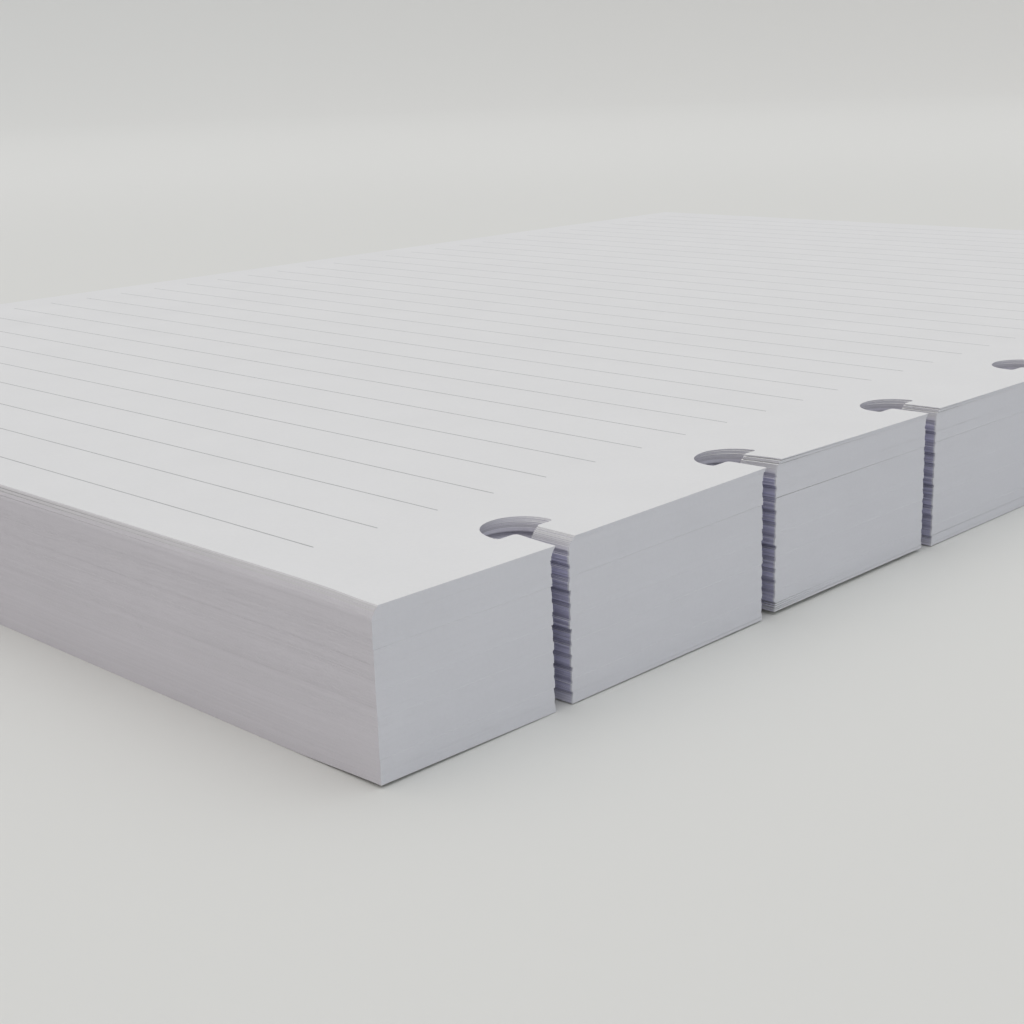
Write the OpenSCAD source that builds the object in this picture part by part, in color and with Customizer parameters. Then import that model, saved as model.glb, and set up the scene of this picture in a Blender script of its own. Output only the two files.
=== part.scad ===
// Disc-bound refill paper: a stack of ruled A5 leaves, with no cover and nothing that binds it.
// The leaves were punched a lot at a time, and each lot still lies together as a block. The
// leaves of the top lot have slipped apart, towards the foot of the page. Mushroom-shaped
// slots open on the bound edge, and each one presses over the rim of a binding disc.
// Lengths are in millimetres. The origin is the middle of the leaf's outline, on the surface
// that the stack lies on. The bound edge is at -X, the head of the page at +Y, and +Z is up.

/* [Leaf] */
// Width of a leaf, from the bound edge to the fore edge
leaf_w = 148; // [80:1:220]
// Length of a leaf, from head to foot
leaf_l = 210; // [100:1:300]
// Thickness of one leaf
leaf_t = 0.1; // [0.07:0.01:0.2]

/* [Stack] */
// Number of lots that lie together as blocks
lots = 12; // [3:1:30]
// Leaves in one of those lots
lot_leaves = 10; // [5:1:20]
// Leaves of the top lot, which have slipped apart
loose_leaves = 10; // [2:1:20]
// How far the top leaf has slipped towards the foot
slip = 0.6; // [0:0.05:2]
// Furthest that a lot lies off the middle of the stack, along X and along Y
jog = 0.04; // [0:0.01:0.3]

/* [Slots] */
// Distance between the middles of neighbouring slots
slot_pitch = 25; // [12:0.5:30]
// Least distance from the middle of an end slot to the end of the leaf
slot_end = 12; // [6:0.5:30]
// Width of the neck, which holds the web of the disc
neck_w = 1.8; // [1:0.1:3]
// Length of the neck, from the bound edge to the head of the slot
neck_l = 4; // [2:0.1:6]
// Width of the head, which holds the rim of the disc
head_w = 5.6; // [4.4:0.1:8]
// Length of the straight part of the head, under its half-round end
head_flank = 0.5; // [0.35:0.05:2]
// Radius of the tabs' corners, where the neck opens into the head
tab_r = 0.5; // [0.25:0.05:0.5]
// Radius at the two inner corners of the head
corner_r = 0.2; // [0.05:0.05:0.3]
// How much the punch opened the top of a lot, on every side of the slot
flare = 0.12; // [0.02:0.01:0.2]
// Depth of that wider part, from the top of the lot
flare_t = 0.4; // [0.1:0.05:0.45]
// Furthest that a lot's row of slots lies off its place along the bound edge
punch_jog = 0.08; // [0:0.01:0.2]

/* [Ruling] */
// Distance between the ruled lines
rule_pitch = 6; // [4:0.5:10]
// Width of a ruled line
rule_w = 0.2; // [0.1:0.05:0.6]
// Thickness of the ink on the top leaf
rule_t = 0.05; // [0.02:0.01:0.1]
// From the head of the leaf to the middle of its first line
rule_head = 5; // [3:0.5:30]
// Least distance from the last line to the foot of the leaf
rule_foot = 5; // [3:0.5:30]
// From the inner ends of the slots to the start of each line
rule_gap = 5.4; // [1:0.1:20]
// From the end of each line to the fore edge
rule_fore = 6; // [0:0.5:20]

/* [Hidden] */
// Any fragment count above 12 stands for a true circle.
$fn = 48;
// How far a cut runs past the face that it opens on
past = 1;
lot_t = lot_leaves * leaf_t;
lots_t = lots * lot_t;
stack_t = lots_t + loose_leaves * leaf_t;
slots = floor((leaf_l - 2 * slot_end) / slot_pitch) + 1;
slot_depth = neck_l + head_flank + head_w / 2;
rule_inset = slot_depth + rule_gap;
rule_count = floor((leaf_l - rule_head - rule_foot) / rule_pitch) + 1;
// Degrees that the lots' places turn by from one lot to the next, so that no two lie alike
jog_turn_x = 137.5;
jog_turn_y = 99.5;
punch_turn = 222.5;

function two_digits(n) = n < 10 ? str("0", n) : str(n);
function lot_name(n) = str("leaf_lot_", two_digits(n));
function leaf_name(n) = str("loose_leaf_", two_digits(n));

// Lots and loose leaves are both counted from 1 at the bottom.
function lot_place(n) = [jog * sin(n * jog_turn_x), jog * cos(n * jog_turn_y), (n - 1) * lot_t];
function punch_place(n) = punch_jog * sin(n * punch_turn);

// The slip grows with the square of the height in the loose lot, up to all of it at the top.
function leaf_share(n) = n / loose_leaves;
function leaf_place(n) = [0, -slip * pow(leaf_share(n), 2), lots_t + (n - 1) * leaf_t];

// One inner corner of the head, left standing as paper, so that the corner is round.
// The corner is at the origin, and the slot lies on the side of +X and +Y.
module corner_paper(r) {
    difference() {
        square(r);
        translate([r, r])
            circle(r);
    }
}

// The paper cut from one tab's corner, where the neck's side turns into the head.
// The tab's sharp corner is at the origin, and the tab lies on the side of -X and +Y.
module tab_corner_cut(r) {
    difference() {
        translate([-r, 0])
            square(r);
        translate([-r, r])
            circle(r);
    }
}

// The half of a slot on its +Y side, with the bound edge at X = 0 and all its walls moved
// out by grow. The middle of the half-round end stays where it is.
module half_slot(grow) {
    neck_half = neck_w / 2 + grow;
    head_start = neck_l - grow;
    head_r = head_w / 2 + grow;
    round_x = neck_l + head_flank;
    translate([-past, 0])
        square([past + head_start, neck_half]);
    translate([head_start, neck_half])
        tab_corner_cut(tab_r - grow);
    difference() {
        union() {
            translate([head_start, 0])
                square([round_x - head_start, head_r]);
            intersection() {
                translate([round_x, 0])
                    circle(head_r);
                translate([round_x, 0])
                    square(head_r + past);
            }
        }
        translate([head_start, head_r])
            mirror([0, 1])
                corner_paper(corner_r + grow);
    }
}

// The whole row of slots, centred on the length of the leaf.
module slot_row(grow) {
    for (n = [0:slots - 1])
        translate([-leaf_w / 2, (n - (slots - 1) / 2) * slot_pitch]) {
            half_slot(grow);
            mirror([0, 1])
                half_slot(grow);
        }
}

// A lot that lies together, with its slots a little wider at the top.
module leaf_lot(n) {
    color("whitesmoke")
        translate(lot_place(n))
            difference() {
                linear_extrude(lot_t)
                    square([leaf_w, leaf_l], center = true);
                translate([0, punch_place(n), -past])
                    linear_extrude(lot_t + 2 * past)
                        slot_row(0);
                translate([0, punch_place(n), lot_t - flare_t])
                    linear_extrude(flare_t + past)
                        slot_row(flare);
            }
}

// One leaf of the top lot. The flare is spread over these leaves, up to all of it at the top.
module loose_leaf(n) {
    color("white")
        translate(leaf_place(n))
            linear_extrude(leaf_t)
                difference() {
                    square([leaf_w, leaf_l], center = true);
                    slot_row(flare * leaf_share(n));
                }
}

// The lines printed on the top leaf, from the head down. They lie on it and slip with it.
module ruling() {
    line_l = leaf_w - rule_inset - rule_fore;
    top = leaf_place(loose_leaves);
    color("silver")
        translate([top[0], top[1], stack_t])
            for (n = [0:rule_count - 1])
                translate([
                    rule_inset - leaf_w / 2,
                    leaf_l / 2 - rule_head - n * rule_pitch - rule_w / 2,
                    0
                ])
                    cube([line_l, rule_w, rule_t]);
}

for (n = [1:lots])
    leaf_lot(n);
for (n = [1:loose_leaves])
    loose_leaf(n);
ruling();
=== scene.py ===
"""Looks of the disc-bound refill paper: every leaf of the stack, with its punched slots, its
cut edges and the ruling of the top leaf. Lengths are in millimetres until a mesh is filled,
and metres from there on. Depth is counted from the bound edge into the page, along from the
head of the page to its foot, and height up from the surface that the stack lies on."""

import math

import bpy
import numpy as np
from mathutils import Matrix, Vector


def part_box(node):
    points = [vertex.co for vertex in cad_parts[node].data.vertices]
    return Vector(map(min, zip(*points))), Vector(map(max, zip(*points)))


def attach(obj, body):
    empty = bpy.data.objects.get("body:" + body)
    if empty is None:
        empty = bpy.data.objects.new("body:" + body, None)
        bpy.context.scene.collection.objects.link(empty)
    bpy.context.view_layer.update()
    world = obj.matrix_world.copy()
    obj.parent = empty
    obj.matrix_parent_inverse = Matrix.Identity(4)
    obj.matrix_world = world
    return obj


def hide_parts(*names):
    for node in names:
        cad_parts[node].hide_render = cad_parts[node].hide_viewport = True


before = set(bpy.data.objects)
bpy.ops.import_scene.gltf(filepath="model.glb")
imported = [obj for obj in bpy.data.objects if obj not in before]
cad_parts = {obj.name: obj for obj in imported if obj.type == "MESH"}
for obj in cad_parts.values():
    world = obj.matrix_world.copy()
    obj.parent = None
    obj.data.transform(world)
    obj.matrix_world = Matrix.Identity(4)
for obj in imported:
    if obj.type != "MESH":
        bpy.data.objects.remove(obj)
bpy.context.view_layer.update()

MM = 0.001
rng = np.random.default_rng(2023)

# Leaves
LEAF_W, LEAF_L, LEAF_T = 148.0, 210.0, 0.1
LOTS, LOT_LEAVES, LOOSE_LEAVES = 12, 10, 10
ALL_LEAVES = LOTS * LOT_LEAVES + LOOSE_LEAVES
STACK_T = ALL_LEAVES * LEAF_T
AIR, AIR_PLAY = 0.002, (0.3, 1.7)  # air between two leaves that lie on each other, and its shares
PAGE_ROWS = 3  # rows of quads from the strip of slots to the fore edge

# Slots
SLOT_PITCH, SLOT_COUNT = 25.0, 8
SLOT_Y = (np.arange(SLOT_COUNT) - (SLOT_COUNT - 1) / 2) * SLOT_PITCH  # from the foot up
SLOT_ALONG = LEAF_L / 2 - SLOT_Y[::-1]  # from the head of the page down
NECK_HALF, NECK_L, HEAD_R, HEAD_FLANK = 0.9, 4.0, 2.8, 0.5
TAB_R, CORNER_R = 0.5, 0.2
NECK_STEPS = np.array([0, 0.3, 0.7, 1])  # shares of the neck's side that have a point
TURN_STEPS, ROUND_STEPS = 4, 8  # steps of a small corner, and of half the round end
STRIP = 12.0  # depth of the strip that holds the slots and the paper round them
RAY_STEPS = np.array([0, 0.09, 0.32, 1.0])  # shares of the way from a slot's wall to its cell's edge
SIDE_REACH = 5.0  # depth at which the ray from the end of a slot's flank meets its cell's side
CORNER_STEP = 3  # step of the round end whose ray meets the cell's corner

# How the punch cut a lot: the flare at its top, and how far its row of slots is off its place
FLARE, PUNCH_JOG, PUNCH_TURN = 0.12, 0.08, 222.5
FLARE_SEEN, PUNCH_SEEN = 0.8, 0.6  # shares of the flare and of the row's place that show
FLARE_SHARE = [[0, 5, 6, 7, 9], [0, 0.1, 0.6, 0.9, 1]]  # from the lot's lowest leaf up
GROW_PLAY, SHIFT_PLAY = 0.016, 0.03  # how unevenly the slots of its leaves are wide and placed
SLOT_UNEVEN = [1, 1, 1, 1, 1, 1, 1, 0.5]  # how much of that each slot has, from the foot up
LOOSE_GROW_PLAY, LOOSE_SHIFT_PLAY = 0.005, 0.008  # the same for a loose leaf's slots

# How a lot lies: the share of its place off the middle that shows, and its leaves' play along
# X and Y
FLUSH = 0.3
LEAF_PLAY = [0.0015, 0.006]

# How far the top of the stack stands above flat leaves at the bound edge: at the near and the
# far end of each tab, from the head of the page down. The rim that the punch raised round the
# slots lifts the leaves.
TAB_RISE = np.array([
    [-0.50, -0.54], [-0.31, 0.02], [0.20, 0.03], [0.04, 0.0], [0.10, 0.0],
    [0.08, 0.0], [0.09, 0.02], [0.06, -0.05], [-0.08, -0.15],
])
# How far the underside of each tab stands off the surface, at its near and far end
TAB_GAP = np.array([
    [0.26, 0.03], [0.10, 0.14], [0.36, 0.35], [0.09, 0.03], [0.06, 0.03],
    [0.04, 0.04], [0.05, 0.03], [0.04, 0.02], [0.02, 0.08],
])
# Gaps between neighbouring lots, from the lower one's number, at each tab's near and far end
LOT_GAPS = {
    1: [[0.0, 0.0], [0.002, 0.002], [0.002, 0.004], [0.04, 0.02], [0.02, 0.01],
        [0.01, 0.01], [0.0, 0.01], [0.01, 0.0], [0.0, 0.0]],
    10: [[0.003, 0.004], [0.003, 0.013], [0.048, 0.003], [0.014, 0.005], [0.02, 0.01],
         [0.03, 0.01], [0.02, 0.01], [0.02, 0.01], [0.02, 0.01]],
    11: [[0.0, 0.0], [0.0, 0.008], [0.0, 0.016], [0.018, 0.008], [0.01, 0.02],
         [0.0, 0.01], [0.02, 0.0], [0.01, 0.01], [0.0, 0.01]],
}
TAB_ENDS = np.concatenate([[0.0], SLOT_ALONG, [LEAF_L]])
RISE_REACH, GAP_REACH = 4.0, 6.0  # depths over which the rise and the gaps fade
GAP_HEIGHT = 2.5  # height over which the gap under the tabs fades
# How far the top of the page stands above flat leaves, from head to foot
PAGE_RISE = [[0, 20, 34, 50, 170, 210], [-0.30, -0.24, -0.10, 0.0, 0.0, -0.08]]

# Lowest lot: the lowest leaves fan out past the second slot, and some curl off the rest
FOOT_FAN, FOOT_FAN_REACH, FOOT_FAN_LEAVES = 0.085, 3.0, 8
FOOT_CURL, FOOT_CURL_REACH, FOOT_CURL_LEAF = 0.022, 4.0, 2
FOOT_CURL_SHARE = [[20, 34, 60, 90], [0, 1, 1, 0]]
# Painted light on the lowest lot's edges, for the light from the floor that its fanned leaves catch
FOOT_FLOOR_LIGHT = 0.5  # how much lighter the tones of its leaves are

# Fan of the loose leaves: its height past each slot, from the head of the page down, and the
# share of it that each leaf takes
FAN_HEIGHTS = [0.03, 0.13, 0.11, 0.07, 0.05, 0.07, 0.03, 0.05]
FAN_SHARES = {6: 0.04, 7: 0.10, 8: 0.50, 9: 0.58, 10: 1.0}
FAN_BEFORE = 0.35  # share of a fan's height that is left on the near side of its slot
FAN_REACH, FAN_BEFORE_REACH = 11.0, 3.0

# Air left over some of the loose leaves at the head of the page, from the lowest leaf up
HEAD_AIR = [0.0, 0.0, 0.035, 0.0, 0.0, 0.04, 0.0, 0.05, 0.0, 0.0]
HEAD_AIR_REACH, HEAD_AIR_START = 6.0, 35.0  # how far down the page it fades, and how deep it sets in

# How far the lots' top and then each loose leaf have slipped: evenly at the head of the page,
# and in two clear steps from the second slot on
END_SLIP = [0.0, 0.01, 0.03, 0.06, 0.13, 0.18, 0.24, 0.33, 0.40, 0.52, 0.60]
SLOT_SLIP = [0.0, 0.01, 0.02, 0.03, 0.06, 0.10, 0.14, 0.18, 0.38, 0.41, 0.60]
SLIP_TURN = [[10, 36], [0, 1]]  # share of SLOT_SLIP, along the page
# Share of the step from the leaf below that a cut edge takes up by leaning, along the page
END_LEAN = [[8, 14], [0.7, 0]]
NECK_LEAN = [[14, 16, 20, 24], [0, 0.45, 0.45, 0]]
NECK_END = NECK_L - TAB_R + 0.05  # depth just past the straight side of a neck

# Ruling, and the ink's width and height in the middle of the frame's ruled strips
RULE_PITCH, RULE_W, RULE_COUNT = 6.0, 0.2, 34
INK_W, INK_T = 0.13, 0.004
RULE_POINTS = 9


def slot_half_wall(grow):
    """Points of half a slot's wall from the mouth to the inner end, as (depth, side), for each
    leaf. The neck runs straight in at side NECK_HALF + grow. A quarter circle of radius
    TAB_R - grow turns it out along the underside of the tab, a quarter circle of radius
    CORNER_R + grow turns it in again, and past the flank a quarter circle of radius
    HEAD_R + grow about (NECK_L + HEAD_FLANK, 0) closes it on the slot's middle line."""
    g = np.asarray(grow, float)[:, None]
    neck, head, tab, corner = NECK_HALF + g, HEAD_R + g, TAB_R - g, CORNER_R + g
    turn = np.linspace(0, np.pi / 2, TURN_STEPS + 1)[None, 1:]
    wide = np.linspace(0, np.pi / 2, ROUND_STEPS + 1)[None, 1:]
    run = NECK_STEPS[None] * (NECK_L - TAB_R)
    one = np.ones_like(g)
    depth = [
        run * one,
        NECK_L - TAB_R + tab * np.sin(turn),
        (NECK_L - g) * one,
        NECK_L - g + corner * (1 - np.cos(turn[:, 1::2])),
        (NECK_L + HEAD_FLANK) * one,
        NECK_L + HEAD_FLANK + head * np.sin(wide),
    ]
    side = [
        neck * np.ones_like(run),
        neck + tab * (1 - np.cos(turn)),
        head - corner,
        head - corner + corner * np.sin(turn[:, 1::2]),
        head,
        head * np.cos(wide),
    ]
    return np.concatenate(depth, 1), np.concatenate(side, 1)


# Where the ray from each wall point ends: first on the side of the slot's cell, in step with
# the depth, then on the line at depth STRIP, from the cell's corner to its middle.
WALL_POINTS = slot_half_wall([0.0])[0].shape[1]
FLANK_END = WALL_POINTS - 1 - ROUND_STEPS
RAY_KEYS = [0, FLANK_END, FLANK_END + CORNER_STEP, WALL_POINTS - 1]
RAY_DEPTH = np.interp(np.arange(WALL_POINTS), RAY_KEYS, [0, SIDE_REACH, STRIP, STRIP])
RAY_SIDE = np.interp(np.arange(WALL_POINTS), RAY_KEYS, [1, 1, 1, 0])


def slot_cells(grow, shift):
    """The paper round every slot of each leaf, as an array (leaf, slot, ray, step, 2) of
    (depth, y). A ray goes from a wall point W to its end E, and step f lies at W + f (E - W).
    The rays sweep round the slot from one side of its mouth to the other."""
    depth, side = slot_half_wall(grow)
    depth = np.concatenate([depth, depth[:, -2::-1]], 1)
    sign = np.where(np.arange(depth.shape[1]) < WALL_POINTS - 1, -1.0, 1.0)
    side = np.concatenate([side, side[:, -2::-1]], 1) * sign
    ray_depth = np.concatenate([RAY_DEPTH, RAY_DEPTH[-2::-1]])
    ray_side = np.concatenate([RAY_SIDE, RAY_SIDE[-2::-1]]) * sign
    reach = np.full((SLOT_COUNT, 2), SLOT_PITCH / 2)
    reach[0, 0] = LEAF_L / 2 + SLOT_Y[0]
    reach[-1, 1] = LEAF_L / 2 - SLOT_Y[-1]
    span = np.where(sign < 0, reach[:, :1], reach[:, 1:])
    leaves = len(depth)
    wall = np.zeros((leaves, SLOT_COUNT, depth.shape[1], 2))
    wall[..., 0] = depth[:, None]
    wall[..., 1] = side[:, None] + SLOT_Y[None, :, None] + np.reshape(shift, (leaves, -1, 1))
    ends = np.zeros_like(wall)
    ends[..., 0] = ray_depth
    ends[..., 1] = ray_side * span + SLOT_Y[:, None]
    step = RAY_STEPS[:, None]
    return wall[..., None, :] + step * (ends - wall)[..., None, :]


# The cells of one leaf with no flare, and the rest of a leaf, past the strip of slots, as a
# grid (row, column, 2) of (depth, y). Its columns start where the cells' rays end, so that the
# two meet point to point.
PLAIN_CELLS = slot_cells([0.0], [[0.0]])[0]
RAY_ENDS = PLAIN_CELLS[:, :, -1]
PAGE_Y = np.unique(RAY_ENDS[RAY_ENDS[..., 0] > STRIP - 1e-6][:, 1].round(4))
PAGE_DEPTH = np.linspace(STRIP, LEAF_W, PAGE_ROWS + 1)
PAGE_GRID = np.stack(np.broadcast_arrays(PAGE_DEPTH[:, None], PAGE_Y[None, :]), -1)


def grid_quads(rows, columns, start):
    """The quads of a grid of rows x columns points, numbered from start."""
    i = np.arange(rows * columns).reshape(rows, columns) + start
    return np.stack([i[:-1, :-1], i[1:, :-1], i[1:, 1:], i[:-1, 1:]], -1).reshape(-1, 4)


def leaf_plan():
    """The plan of one leaf: which points it keeps, its quads seen from above, and the edges
    of its outline. Points that coincide are merged, and an edge is on the outline where only
    one quad has it."""
    rays, steps = PLAIN_CELLS.shape[1:3]
    flat = np.concatenate([PLAIN_CELLS.reshape(-1, 2), PAGE_GRID.reshape(-1, 2)])
    quads = [grid_quads(rays, steps, n * rays * steps) for n in range(SLOT_COUNT)]
    quads.append(grid_quads(*PAGE_GRID.shape[:2], SLOT_COUNT * rays * steps))
    _, keep, number = np.unique(flat.round(4), axis=0, return_index=True, return_inverse=True)
    quads = number.reshape(-1)[np.concatenate(quads)]
    x, y = flat[keep][quads].transpose(2, 0, 1)
    turn = (x * np.roll(y, -1, 1) - y * np.roll(x, -1, 1)).sum(1)
    quads = np.where(turn[:, None] > 0, quads, quads[:, ::-1])
    a, b = quads.ravel(), np.roll(quads, -1, 1).ravel()
    lone = ~np.isin(a * len(keep) + b, b * len(keep) + a)
    return keep, quads, np.stack([a[lone], b[lone]], 1)


def leaf_points(grow, shift, keep):
    """The kept points of each leaf, as (leaf, point, 2) of (depth, y)."""
    cells = slot_cells(grow, shift)
    page = PAGE_GRID[None].repeat(len(cells), 0)
    both = [cells.reshape(len(cells), -1, 2), page.reshape(len(cells), -1, 2)]
    return np.concatenate(both, 1)[:, keep]


def bell(distance, reach):
    """A fade from 1 at no distance towards 0, as exp(-(distance / reach)^2)."""
    return np.exp(-((distance / reach) ** 2))


def tab_value(table, along):
    """A table's value at a place along the bound edge: straight from each tab's near end to
    its far end, with a step at each slot."""
    tab = np.clip(np.searchsorted(TAB_ENDS, along) - 1, 0, len(table) - 1)
    share = (along - TAB_ENDS[tab]) / (TAB_ENDS[tab + 1] - TAB_ENDS[tab])
    return table[tab, 0] + (table[tab, 1] - table[tab, 0]) * share


def settle(depth, along, height, lot):
    """Where a point of the stack at a nominal height comes to lie. The page's rise runs
    straight from place to place along the page. The tabs' rise fades with the depth into the
    page's, as a bell of RISE_REACH, and both grow with the height. The gap under the tabs
    fades with the depth, as a bell of GAP_REACH, and upwards as exp(-height / GAP_HEIGHT).
    The gaps between the lots below this one add up, and fade with the depth as that gap."""
    page = np.interp(along, *PAGE_RISE)
    rise = page + (tab_value(TAB_RISE, along) - page) * bell(depth, RISE_REACH)
    slow = bell(depth, GAP_REACH)
    gap = tab_value(TAB_GAP, along) * slow * np.exp(-height / GAP_HEIGHT)
    below = [tab_value(np.array(gaps), along) for lower, gaps in LOT_GAPS.items() if lower < lot]
    opened = sum(below) * slow if below else 0.0
    return height * (1 + rise / STACK_T) + gap + opened


def add_object(name, data):
    """An object in the scene for a mesh or a camera."""
    made = bpy.data.objects.new(name, data)
    bpy.context.scene.collection.objects.link(made)
    return made


def fill_mesh(name, points, quads):
    """A piece from points in millimetres and quads, smooth but for its edges over 30 degrees."""
    mesh = bpy.data.meshes.new(name)
    mesh.vertices.add(len(points))
    mesh.vertices.foreach_set("co", (points * MM).astype(np.float32).ravel())
    mesh.loops.add(quads.size)
    mesh.loops.foreach_set("vertex_index", quads.astype(np.int32).ravel())
    mesh.polygons.add(len(quads))
    mesh.polygons.foreach_set("loop_start", np.arange(0, quads.size, 4, dtype=np.int32))
    mesh.update(calc_edges=True)
    mesh.shade_smooth()
    mesh.set_sharp_from_angle(angle=math.radians(30))
    return add_object(name, mesh)


def closed_leaves(name, plan, flat, low, high, tone, band, level):
    """Closed leaves from one plan: flat is (leaf, side, point, 2) in x and y, for the lower and
    the upper side or for both at once, and low and high are the heights of the two sides at
    each point. A wall joins the sides along the outline. Each leaf's tone, with painted light on the
    lowest lot, its share of the painted shadow band at the top of a lot, and its level, counted from
    1 at the bottom of the stack, are kept with its points for the material."""
    _, quads, rim = plan
    leaves, _, count = flat.shape[:3]
    points = np.zeros((leaves, 2, count, 3))
    points[..., :2] = flat
    points[:, 0, :, 2] = low
    points[:, 1, :, 2] = high
    a, b = rim.T
    wall = np.stack([a + count, a, b, b + count], 1)
    faces = np.concatenate([quads + count, quads[:, ::-1], wall])
    faces = faces[None] + (np.arange(leaves) * 2 * count)[:, None, None]
    piece = fill_mesh(name, points.reshape(-1, 3), faces.reshape(-1, 4))
    for label, values in (("leaf_tone_and_light", tone), ("shade_band", band), ("leaf_level", level)):
        kept = piece.data.attributes.new(label, "FLOAT", "POINT")
        kept.data.foreach_set("value", np.repeat(values, 2 * count).astype(np.float32))
    return piece


def place_of(node):
    """Middle of a CAD node's outline and height of its underside, in millimetres."""
    low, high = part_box(node)
    return [(low.x + high.x) / 2 / MM, (low.y + high.y) / 2 / MM, low.z / MM]


def foot_air(depth, along, level):
    """Air over the leaves of the lowest lot. Past the second slot every other one of the
    lowest leaves lies clear of the next. That air fades along the page from the slot's middle
    as exp(-past / FOOT_FAN_REACH), and with the depth as a bell. Further on, the three lowest
    leaves lie clear of the rest by FOOT_CURL, which fades with the depth as a bell too."""
    past = along - SLOT_ALONG[1]
    near = np.where(past > 0, np.exp(-past / FOOT_FAN_REACH), 0.0) * bell(depth, FOOT_FAN_REACH)
    fan = FOOT_FAN * near * (level % 2) * (level < FOOT_FAN_LEAVES)
    curl = np.interp(along, *FOOT_CURL_SHARE) * bell(depth, FOOT_CURL_REACH)
    return fan + FOOT_CURL * curl * (level == FOOT_CURL_LEAF)


def lot_of_leaves(name, node, number, plan):
    """The ten leaves of one lot. A leaf's slots are opened by FLARE_SEEN x FLARE x its share of
    the flare, and its row of slots is off its place by PUNCH_SEEN x PUNCH_JOG x
    sin(PUNCH_TURN x number). On top of that no two leaves were cut or lie quite alike."""
    x, y, base = place_of(node)
    level = np.arange(LOT_LEAVES)
    top_share = np.interp(level, *FLARE_SHARE)
    grow = FLARE_SEEN * FLARE * top_share + rng.uniform(-GROW_PLAY, GROW_PLAY, LOT_LEAVES)
    tone = rng.uniform(-1, 1, LOT_LEAVES)
    punch = PUNCH_SEEN * PUNCH_JOG * math.sin(math.radians(PUNCH_TURN * number))
    uneven = rng.uniform(-SHIFT_PLAY, SHIFT_PLAY, (LOT_LEAVES, SLOT_COUNT)) * SLOT_UNEVEN
    play = rng.normal(0, LEAF_PLAY, (LOT_LEAVES, 1, 2))
    air = AIR * rng.uniform(*AIR_PLAY, (LOT_LEAVES, 1))
    flat = leaf_points(grow, punch + uneven, plan[0])
    depth, along = flat[..., 0], LEAF_L / 2 - flat[..., 1]
    under = base + level[:, None] * LEAF_T
    low = settle(depth, along, under, number)
    high = settle(depth, along, under + LEAF_T, number)
    if number == 1:
        air = air + foot_air(depth, along, level[:, None])
        # Painted light on the lowest lot's edges, from the floor
        tone = tone + FOOT_FLOOR_LIGHT
    flat = flat + [x * FLUSH - LEAF_W / 2, y * FLUSH] + play
    order = (number - 1) * LOT_LEAVES + level + 1
    return closed_leaves(name, plan, flat[:, None], low, high - air, tone, top_share, order)


def fan_lift(depth, along, number):
    """How far a loose leaf stands off its lot past each slot. The lift fades along the page as
    exp(-past / FAN_REACH), and from the bound edge as (1 - (depth / STRIP)^2)^2, down to 0.
    On the slot's near side it starts from FAN_BEFORE and fades as exp(past / FAN_BEFORE_REACH),
    and across the neck it turns from the one into the other."""
    fade = np.clip(1 - (depth / STRIP) ** 2, 0, 1) ** 2
    lift = np.zeros_like(along)
    for place, height in zip(SLOT_ALONG, FAN_HEIGHTS):
        past = along - place
        side = np.interp(past, [-NECK_HALF, NECK_HALF], [FAN_BEFORE, 1.0])
        after, before = np.exp(-past / FAN_REACH), np.exp(past / FAN_BEFORE_REACH)
        lift = np.maximum(lift, height * (side * np.where(past > 0, after, before)) * fade)
    return lift * FAN_SHARES.get(number, 0.0)


def edge_lean(depth, along):
    """How much of the step from the leaf below a cut edge takes up by leaning: END_LEAN at the
    head of the page, and NECK_LEAN in the neck of the slot next to it."""
    neck = np.interp(along, *NECK_LEAN) * (depth < NECK_END)
    return np.maximum(np.interp(along, *END_LEAN), neck)


def loose_leaf(name, node, number, plan):
    """One leaf of the top lot, where the frame has it, with its own flare and fan. Its slip
    turns from END_SLIP at the head of the page to SLOT_SLIP at the second slot. The lower
    side starts from the outline of the leaf below, as far as the cut edge leans."""
    x, _, base = place_of(node)
    height_share = np.array([number - 1, number]) / LOOSE_LEAVES
    grow = FLARE * height_share + rng.uniform(-LOOSE_GROW_PLAY, LOOSE_GROW_PLAY)
    shift = rng.uniform(-LOOSE_SHIFT_PLAY, LOOSE_SHIFT_PLAY, (1, SLOT_COUNT)).repeat(2, 0)
    tone = rng.uniform(-1, 1, 1)
    flat = leaf_points(grow, shift, plan[0])
    depth, along = flat[1, :, 0], LEAF_L / 2 - flat[1, :, 1]
    fan = fan_lift(depth, along, number)
    far = 1 - bell(depth, HEAD_AIR_START)
    air = AIR + HEAD_AIR[number - 1] * np.exp(-along / HEAD_AIR_REACH) * far
    low = settle(depth, along, base, LOTS + 1) + fan
    high = settle(depth, along, base + LEAF_T, LOTS + 1) + fan
    flat[..., 0] += x - LEAF_W / 2
    slip_share = np.interp(along, *SLIP_TURN)
    for side, leaf in enumerate((number - 1, number)):
        flat[side, :, 1] -= END_SLIP[leaf] + (SLOT_SLIP[leaf] - END_SLIP[leaf]) * slip_share
    flat[0] = flat[1] + edge_lean(depth, along)[:, None] * (flat[0] - flat[1])
    order = np.array([LOTS * LOT_LEAVES + number])
    return closed_leaves(name, plan, flat[None], low, high - air, tone, np.zeros(1), order)


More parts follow.
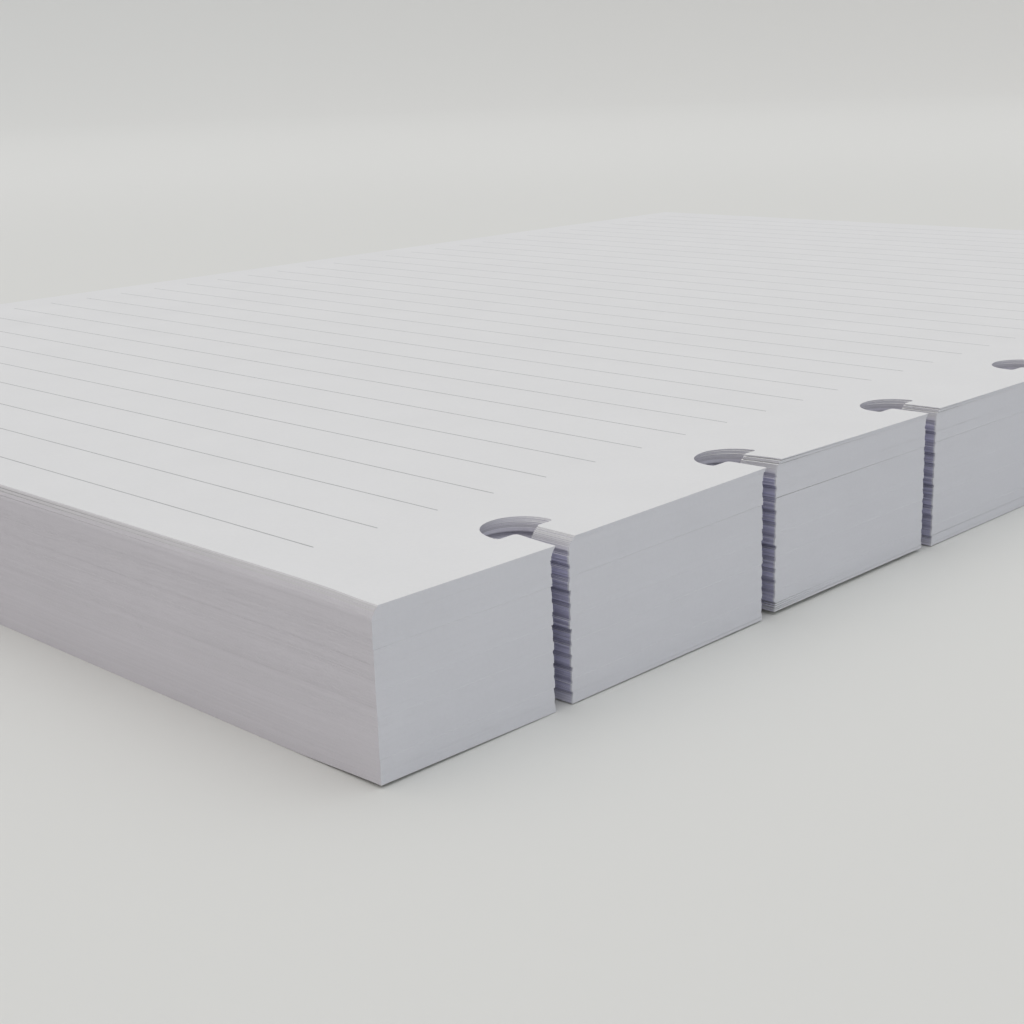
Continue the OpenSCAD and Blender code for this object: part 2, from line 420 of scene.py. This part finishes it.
def ruled_lines(name, node):
    """The printed lines: each a flat bar of ink that stands INK_T above the top leaf and
    reaches as far into it, following its rise."""
    low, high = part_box(node)
    x = np.linspace(low.x / MM, high.x / MM, RULE_POINTS)
    y = high.y / MM - RULE_W / 2 - np.arange(RULE_COUNT) * RULE_PITCH
    top_y = place_of("loose_leaf_%02d" % LOOSE_LEAVES)[1]
    ring = np.array([[-0.5, -1], [0.5, -1], [0.5, 1], [-0.5, 1]]) * [INK_W, INK_T]
    grid = np.zeros((RULE_COUNT, len(x), 4, 3))
    grid[..., 0] = x[None, :, None]
    grid[..., 1] = y[:, None, None] + ring[:, 0]
    along = LEAF_L / 2 - (grid[..., 1] - top_y)
    top = settle(grid[..., 0] + LEAF_W / 2, along, STACK_T, LOTS + 1) - AIR
    grid[..., 2] = top + ring[:, 1]
    i = np.arange(len(x) * 4).reshape(-1, 4)
    j = np.roll(i, -1, 1)
    sides = np.stack([i[:-1], i[1:], j[1:], j[:-1]], -1).reshape(-1, 4)
    quads = np.concatenate([sides, i[:1], i[-1:, ::-1]])[:, ::-1]
    quads = quads[None] + (np.arange(RULE_COUNT) * len(x) * 4)[:, None, None]
    return fill_mesh(name, grid.reshape(-1, 3), quads.reshape(-1, 4))


def put_in(tree, value, socket):
    """Links a socket's value to another socket, or sets it."""
    if isinstance(value, bpy.types.NodeSocket):
        tree.links.new(value, socket)
    else:
        socket.default_value = value


def add_node(tree, kind, **inputs):
    """A node of a kind, with values or links on the sockets that are named."""
    made = tree.nodes.new(kind)
    for name, value in inputs.items():
        put_in(tree, value, made.inputs[name.replace("_", " ")])
    return made


def math_node(tree, operation, a, b=0.0):
    """The result of one sum on one or two numbers."""
    made = tree.nodes.new("ShaderNodeMath")
    made.operation = operation
    put_in(tree, a, made.inputs[0])
    put_in(tree, b, made.inputs[1])
    return made.outputs[0]


def product(tree, first, *others):
    """The product of the values."""
    for value in others:
        first = math_node(tree, "MULTIPLY", first, value)
    return first


def weighted_sum(tree, *shares):
    """The sum of masks or values, each times its strength."""
    total = 0.0
    for mask, strength in shares:
        total = math_node(tree, "ADD", total, product(tree, mask, strength))
    return total


def rest_of(tree, mask):
    """What a mask leaves free: 1 - mask."""
    return math_node(tree, "SUBTRACT", 1.0, mask)


def map_node(tree, value, span, to_low=0.0, to_high=1.0):
    """A smooth step of value from the span's two ends onto another range."""
    made = add_node(tree, "ShaderNodeMapRange", Value=value, From_Min=span[0], From_Max=span[1],
                    To_Min=to_low, To_Max=to_high)
    made.interpolation_type = "SMOOTHSTEP"
    return made.outputs[0]


def mix_colours(tree, factor, first, second, blend="MIX"):
    """The first colour mixed with the second, as far as factor goes."""
    made = tree.nodes.new("ShaderNodeMix")
    made.data_type, made.blend_type = "RGBA", blend
    for index, value in ((0, factor), (6, first), (7, second)):
        put_in(tree, value, made.inputs[index])
    return made.outputs[2]


def new_group(name, inputs, outputs):
    """An empty shader group with named sockets, given as (name, kind) pairs."""
    group = bpy.data.node_groups.new(name, "ShaderNodeTree")
    for way, sockets in (("INPUT", inputs), ("OUTPUT", outputs)):
        for label, kind in sockets:
            group.interface.new_socket(name=label, in_out=way, socket_type="NodeSocket" + kind)
    return group, group.nodes.new("NodeGroupInput"), group.nodes.new("NodeGroupOutput")


def use_group(tree, group, **inputs):
    """A group placed in a material, with values or links on the sockets that are named."""
    made = tree.nodes.new("ShaderNodeGroup")
    made.node_tree = group
    for name, value in inputs.items():
        put_in(tree, value, made.inputs[name])
    return made


def new_material(name, roughness, specular):
    """An empty material with its own shader, and the object's coordinates."""
    material = bpy.data.materials.new(name)
    material.use_nodes = True
    tree = material.node_tree
    tree.nodes.clear()
    shader = add_node(tree, "ShaderNodeBsdfPrincipled", Roughness=roughness,
                      Specular_IOR_Level=specular)
    add_node(tree, "ShaderNodeOutputMaterial", Surface=shader.outputs[0])
    where = tree.nodes.new("ShaderNodeTexCoord").outputs["Object"]
    return material, tree, shader, where


def add_bump(tree, shader, height, strength, distance):
    """Fine relief from a height, on the shader's normal, with its distance in millimetres."""
    bump = add_node(tree, "ShaderNodeBump", Strength=strength, Distance=distance * MM, Height=height)
    tree.links.new(bump.outputs[0], shader.inputs["Normal"])


def kept_value(tree, label):
    """The value that a leaf keeps under a label."""
    kept = tree.nodes.new("ShaderNodeAttribute")
    kept.attribute_name = label
    return kept.outputs["Fac"]


CLOUD_SCALE = 0.04  # scale of the clouds of fibre, as a share of that of single fibres


def fibre_group():
    """Paper fibre: fine noise for single fibres and soft clouds of them, as a shade near 1
    and a height."""
    group, given, out = new_group(
        "paper_fibre",
        [("Vector", "Vector"), ("Grain", "Float"), ("Amount", "Float")],
        [("Shade", "Float"), ("Height", "Float")],
    )
    where, scale, amount = given.outputs[:3]
    fine = add_node(group, "ShaderNodeTexNoise", Vector=where, Scale=scale, Detail=3.0,
                    Roughness=0.65)
    cloud = add_node(group, "ShaderNodeTexNoise", Vector=where, Detail=2.0, Roughness=0.5,
                     Scale=product(group, scale, CLOUD_SCALE))
    both = math_node(group, "ADD", fine.outputs[0], cloud.outputs[0])
    swing = product(group, math_node(group, "SUBTRACT", both, 1.0), amount)
    put_in(group, math_node(group, "ADD", swing, 1.0), out.inputs["Shade"])
    put_in(group, fine.outputs[0], out.inputs["Height"])
    return group


# How much of a face's normal points up or down where an upright face turns into a flat one,
# and how much points along the page where a face turns into one of the page's ends
FLAT_TURN, END_TURN = (0.4, 0.6), (0.6, 0.8)
# Distances from the head or the foot of the page between which a face begins to belong to it
END_ZONE = (1.4, 0.8)
# Depths at which a slot's wall begins behind the bound edge and is over behind the slot, and
# at which its neck opens into its head
SLOT_START, SLOT_OVER, HEAD_START = (0.04, 0.25), (7.8, 8.5), (3.65, 4.15)
STRIPE_CHANGE = 70.0  # how often, in a metre, a stripe's tone changes along the cut


def at_depths(depths):
    """The places along X, in metres, of two depths."""
    return [(depth - LEAF_W / 2) * MM for depth in depths]


def cut_edge_group():
    """Cut edges of the leaves, as masks: where a face stands upright, where it is at the head
    or the foot of the page, where it is a slot's wall, how far such a wall lies inside the
    slot's head, and where a face lies flat beside the head or the foot of the page. Also
    stripes along the cut, one for each leaf."""
    group, given, out = new_group(
        "cut_edge",
        [("Vector", "Vector"), ("Leaf", "Float")],
        [(label, "Float") for label in ("Edge", "Page_End", "Slot", "Head", "Ledge", "Stripe")],
    )
    where, leaf = given.outputs[:2]
    normal = add_node(group, "ShaderNodeNewGeometry").outputs["True Normal"]
    facing = add_node(group, "ShaderNodeSeparateXYZ", Vector=normal).outputs
    x, y, z = add_node(group, "ShaderNodeSeparateXYZ", Vector=where).outputs
    up, lengthwise = [math_node(group, "ABSOLUTE", facing[i]) for i in (2, 1)]
    edge = map_node(group, up, FLAT_TURN, 1.0, 0.0)
    end_zone = [(LEAF_L / 2 - inset) * MM for inset in END_ZONE]
    beside = map_node(group, math_node(group, "ABSOLUTE", y), end_zone)
    ends = product(group, beside, map_node(group, lengthwise, END_TURN))
    inside = map_node(group, x, at_depths(SLOT_START))
    near = map_node(group, x, at_depths(SLOT_OVER), 1.0, 0.0)
    spread = add_node(
        group, "ShaderNodeCombineXYZ",
        X=product(group, x, STRIPE_CHANGE),
        Y=product(group, y, STRIPE_CHANGE),
        Z=math_node(group, "DIVIDE", z, leaf),
    )
    stripe = add_node(group, "ShaderNodeTexNoise", Vector=spread.outputs[0], Scale=1.0, Detail=2.0,
                      Roughness=0.6)
    masks = {
        "Edge": edge,
        "Page_End": product(group, ends, edge),
        "Slot": product(group, inside, near, edge, rest_of(group, ends)),
        "Head": map_node(group, x, at_depths(HEAD_START)),
        "Ledge": product(group, beside, rest_of(group, edge)),
        "Stripe": stripe.outputs[0],
    }
    for label, mask in masks.items():
        put_in(group, mask, out.inputs[label])
    return group


PAPER = (0.745, 0.745, 0.752, 1.0)
# Cut edges: a little darker than the faces, and painted shade on every upright face, which gets less
# light than the top, with a painted bluish cast of the light on them
EDGE_TINT_AND_SHADE = (0.904, 0.910, 0.965, 1.0)
# Painted shade and a painted warm cast of the light on the page's ends
END_SHADE_TINT = (0.948, 0.912, 0.908, 1.0)
# Painted shade in the slots: their walls darker, grey deeper in, with a violet cast further down the
# stack
SLOT_SHADE_TINT = (0.97, 0.955, 0.955, 1.0)
GREY_SHADE_TINT = (0.85, 0.84, 0.88, 1.0)
VIOLET_SHADE_TINT = (0.82, 0.83, 1.0, 1.0)
# Painted shade on the flat rims at the page's ends under the leaf above
LEDGE_SHADE_TINT = (0.80, 0.79, 0.80, 1.0)
INK = (0.41, 0.415, 0.425, 1.0)
# Leaves, counted from the bottom of the stack, over which the painted shade on the slots' walls
# fades towards the top, where light falls in from above, and towards the foot, where light from the
# floor reaches them, and over which the slots' heads lose their painted grey shade
DEEP_TOP, DEEP_FOOT, HEAD_TOP = (114, 126), (3, 12), (126, 131)
DEEP_AT_FOOT, GREY_AT_TOP, VIOLET_IN_HEAD = 0.45, 0.5, 0.4  # shares of the tints left there
# How much each leaf's own tone, the painted shadow band at the top of a lot in the slots, under the
# lot above, and the stripes change the cut edges
SLOT_TONE, GREY_TONE, END_TONE = 0.05, 0.13, 0.013
BAND_SHADE = -0.24
END_STREAK, EDGE_STREAK = 0.07, 0.02


def paper_material(fibre, cut_edge):
    """White writing paper: faint fibre on its faces, and cut edges a little darker, with painted
    shade and a painted bluish cast of the light on all upright faces, and more painted shade with a
    warm cast at the page's ends. On the walls of the slots painted shade turns the edges grey in the
    head, and violet further down the stack, with a painted shadow band at the top of each lot. At
    the page's ends the flat rims of all leaves but the top one are darker: painted shade under the
    leaf above."""
    material, tree, shader, where = new_material("white_paper", roughness=0.82, specular=0.25)
    grain = use_group(tree, fibre, Vector=where, Grain=3200.0, Amount=0.05)
    edges = use_group(tree, cut_edge, Vector=where, Leaf=LEAF_T * MM)
    edge, end, slot, head, ledge, stripe = edges.outputs
    level = kept_value(tree, "leaf_level")
    # Painted shade on the slots' walls: grey in the heads, and grey and violet lower down, less of
    # it near the top of the stack and at its foot, where light reaches the walls
    deep = product(tree, map_node(tree, level, DEEP_TOP, 1.0, 0.0),
                   map_node(tree, level, DEEP_FOOT, DEEP_AT_FOOT, 1.0))
    under = product(tree, head, map_node(tree, level, HEAD_TOP, 1.0, GREY_AT_TOP))
    grey = product(tree, slot, math_node(tree, "MAXIMUM", under, deep))
    violet = product(tree, deep, map_node(tree, head, (0.0, 1.0), 1.0, VIOLET_IN_HEAD), slot)
    # Painted shade on the flat rims at the page's ends, under the leaf above
    ledge_shade = product(tree, ledge, math_node(tree, "LESS_THAN", level, ALL_LEAVES - 0.5))
    colour = PAPER
    for share, tint in ((edge, EDGE_TINT_AND_SHADE), (end, END_SHADE_TINT), (slot, SLOT_SHADE_TINT), (grey, GREY_SHADE_TINT),
                        (violet, VIOLET_SHADE_TINT), (ledge_shade, LEDGE_SHADE_TINT)):
        colour = mix_colours(tree, share, colour, tint, "MULTIPLY")
    toned = weighted_sum(tree, (slot, SLOT_TONE), (grey, GREY_TONE), (end, END_TONE))
    streaked = weighted_sum(tree, (end, END_STREAK), (edge, EDGE_STREAK))
    shade = grain.outputs["Shade"]
    # Each leaf's own tone, with painted light on the lowest lot; a painted shadow band at the top of
    # each lot in the slots, under the lot above; and stripes along the cut
    for value, strength in (
        (kept_value(tree, "leaf_tone_and_light"), toned),
        (kept_value(tree, "shade_band"), product(tree, slot, BAND_SHADE)),
        (math_node(tree, "SUBTRACT", stripe, 0.5), streaked),
    ):
        swing = product(tree, value, strength)
        shade = product(tree, shade, math_node(tree, "ADD", swing, 1.0))
    shaded = mix_colours(tree, 1.0, colour, shade, "MULTIPLY")
    put_in(tree, shaded, shader.inputs["Base Color"])
    add_bump(tree, shader, grain.outputs["Height"], strength=0.25, distance=0.02)
    return material


def ink_material(fibre):
    """Grey line ink that the fibre breaks up a little."""
    material, tree, shader, where = new_material("line_ink", roughness=0.7, specular=0.5)
    grain = use_group(tree, fibre, Vector=where, Grain=5200.0, Amount=0.35)
    shaded = mix_colours(tree, 1.0, INK, grain.outputs["Shade"], "MULTIPLY")
    put_in(tree, shaded, shader.inputs["Base Color"])
    add_bump(tree, shader, grain.outputs["Height"], strength=0.3, distance=0.01)
    return material


def finish_piece(piece, node, material):
    """Gives a piece its material and its place in the frame."""
    piece.data.materials.append(material)
    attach(piece, "root")
    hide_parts(node)


def paper_stack():
    """Every lot, every loose leaf and the ruling, in place of the frame's nodes."""
    fibre = fibre_group()
    paper = paper_material(fibre, cut_edge_group())
    ink = ink_material(fibre)
    plan = leaf_plan()
    for n in range(1, LOTS + 1):
        node = "leaf_lot_%02d" % n
        finish_piece(lot_of_leaves("paper_lot_%02d" % n, node, n, plan), node, paper)
    for n in range(1, LOOSE_LEAVES + 1):
        node = "loose_leaf_%02d" % n
        finish_piece(loose_leaf("paper_leaf_%02d" % n, node, n, plan), node, paper)
    finish_piece(ruled_lines("ruled_lines", "ruling"), "ruling", ink)


# Floor, in metres: the inner rings and the radius of its flat part, the radius and the angle
# of its upward turn, the width of its straight rim, and how far it lies below the stack
FLOOR_RINGS = [0.02, 0.2, 0.5, 0.9]
FLOOR_FLAT, FLOOR_TURN, FLOOR_ANGLE, FLOOR_RIM = 1.3, 1.2, math.pi / 3, 0.3
FLOOR_DROP = 0.00001
FLOOR_STEPS, FLOOR_SIDES = 32, 96
# Colour of the floor and backdrop, from each radius in metres to the next: painted light and shade,
# for how the studio light falls off over the floor and up the backdrop
FLOOR_TONES = [(0.2, (0.718, 0.718, 0.70, 1.0)), (0.6, (0.75, 0.75, 0.735, 1.0)),
               (2.2, (0.67, 0.67, 0.657, 1.0))]


def floor_mesh():
    """A round floor that turns up into a backdrop all round: flat to the radius FLOOR_FLAT,
    then a sixth of a circle of radius FLOOR_TURN and a straight rim at its last slope, all
    carried round the middle."""
    turn = np.linspace(0, FLOOR_ANGLE, FLOOR_STEPS + 1)
    curve = FLOOR_FLAT + FLOOR_TURN * np.sin(turn)
    climb = FLOOR_TURN * (1 - np.cos(turn))
    radius = np.concatenate([FLOOR_RINGS, curve, [curve[-1] + FLOOR_RIM]])
    rim = climb[-1] + FLOOR_RIM * math.tan(FLOOR_ANGLE)
    height = np.concatenate([np.zeros(len(FLOOR_RINGS)), climb, [rim]]) - FLOOR_DROP
    angle = np.linspace(0, 2 * np.pi, FLOOR_SIDES + 1)[:-1]
    grid = np.zeros((len(radius), len(angle), 3))
    grid[..., 0] = radius[:, None] * np.cos(angle)
    grid[..., 1] = radius[:, None] * np.sin(angle)
    grid[..., 2] = height[:, None]
    i = np.arange(len(radius) * len(angle)).reshape(len(radius), -1)
    j = np.roll(i, -1, 1)
    quads = np.stack([i[:-1], i[1:], j[1:], j[:-1]], -1).reshape(-1, 4)
    mesh = bpy.data.meshes.new("floor")
    mesh.from_pydata(grid.reshape(-1, 3).tolist(), [], quads.tolist() + [i[0].tolist()])
    mesh.shade_smooth()
    return mesh


def board_material():
    """Pale board, with its colour turning from each of FLOOR_TONES to the next by the
    distance from the middle: painted light and shade for how the studio light falls off."""
    material, tree, shader, where = new_material("pale_board", roughness=0.75, specular=0.1)
    reach = tree.nodes.new("ShaderNodeVectorMath")
    reach.operation = "LENGTH"
    put_in(tree, where, reach.inputs[0])
    colour = FLOOR_TONES[0][1]
    for (start, _), (over, tone) in zip(FLOOR_TONES, FLOOR_TONES[1:]):
        share = map_node(tree, reach.outputs["Value"], (start, over))
        colour = mix_colours(tree, share, colour, tone)
    put_in(tree, colour, shader.inputs["Base Color"])
    return material


def pale_floor():
    """The floor that the stack lies on, as part of the stage."""
    floor = add_object("floor", floor_mesh())
    floor.data.materials.append(board_material())


# The photograph's camera: its turn, tilt and roll in degrees, its place in millimetres, and
# its focal length on a frame of 36 mm
CAMERA_TURNS = [-44.98, -15.71, -1.99]
CAMERA_PLACE = [-148.05, 166.13, 45.32]
CAMERA_LENS, CAMERA_FRAME = 56.36, 36.0


def photo_camera():
    """The photograph's camera. It looks along (cos tilt cos turn, cos tilt sin turn, sin tilt),
    and its right and up turn about that by the roll."""
    turn, tilt, roll = np.radians(CAMERA_TURNS)
    forward = np.array([math.cos(tilt) * math.cos(turn), math.cos(tilt) * math.sin(turn),
                        math.sin(tilt)])
    right = np.cross(forward, [0, 0, 1.0])
    right /= np.linalg.norm(right)
    up = np.cross(right, forward)
    matrix = np.eye(4)
    matrix[:3, 0] = math.cos(roll) * right + math.sin(roll) * up
    matrix[:3, 1] = math.cos(roll) * up - math.sin(roll) * right
    matrix[:3, 2] = -forward
    matrix[:3, 3] = np.array(CAMERA_PLACE) * MM
    data = bpy.data.cameras.new("photo_camera")
    data.lens, data.sensor_width = CAMERA_LENS, CAMERA_FRAME
    data.clip_start, data.clip_end = 0.005, 20.0
    camera = add_object("photo_camera", data)
    camera.matrix_world = Matrix(matrix)
    bpy.context.scene.camera = camera


# The sky's light in red, green and blue: its even share, and how it leans along X and along Y
SKY_LEAN = [(1.0, -0.03, -0.04), (1.0, -0.08, -0.09), (1.0, -0.11, -0.12)]
SKY_STRENGTH = 1.315


def studio_sky():
    """Soft light from above: as bright as the sine of the height over the horizon, and leaning
    to one side by a share of each colour along X and along Y."""
    world = bpy.data.worlds.new("studio_sky")
    world.use_nodes = True
    tree = world.node_tree
    way = tree.nodes.new("ShaderNodeTexCoord").outputs["Generated"]
    x, y, z = add_node(tree, "ShaderNodeSeparateXYZ", Vector=way).outputs
    up = math_node(tree, "MAXIMUM", z, 0.0)
    tint = tree.nodes.new("ShaderNodeCombineColor")
    for socket, (even, along_x, along_y) in zip(tint.inputs, SKY_LEAN):
        lean = weighted_sum(tree, (x, along_x), (y, along_y))
        put_in(tree, product(tree, math_node(tree, "ADD", lean, even), up), socket)
    sky = tree.nodes["Background"]
    put_in(tree, tint.outputs[0], sky.inputs["Color"])
    put_in(tree, SKY_STRENGTH, sky.inputs["Strength"])
    bpy.context.scene.world = world


paper_stack()
pale_floor()
studio_sky()
photo_camera()
bpy.context.scene.view_settings.view_transform = "Standard"
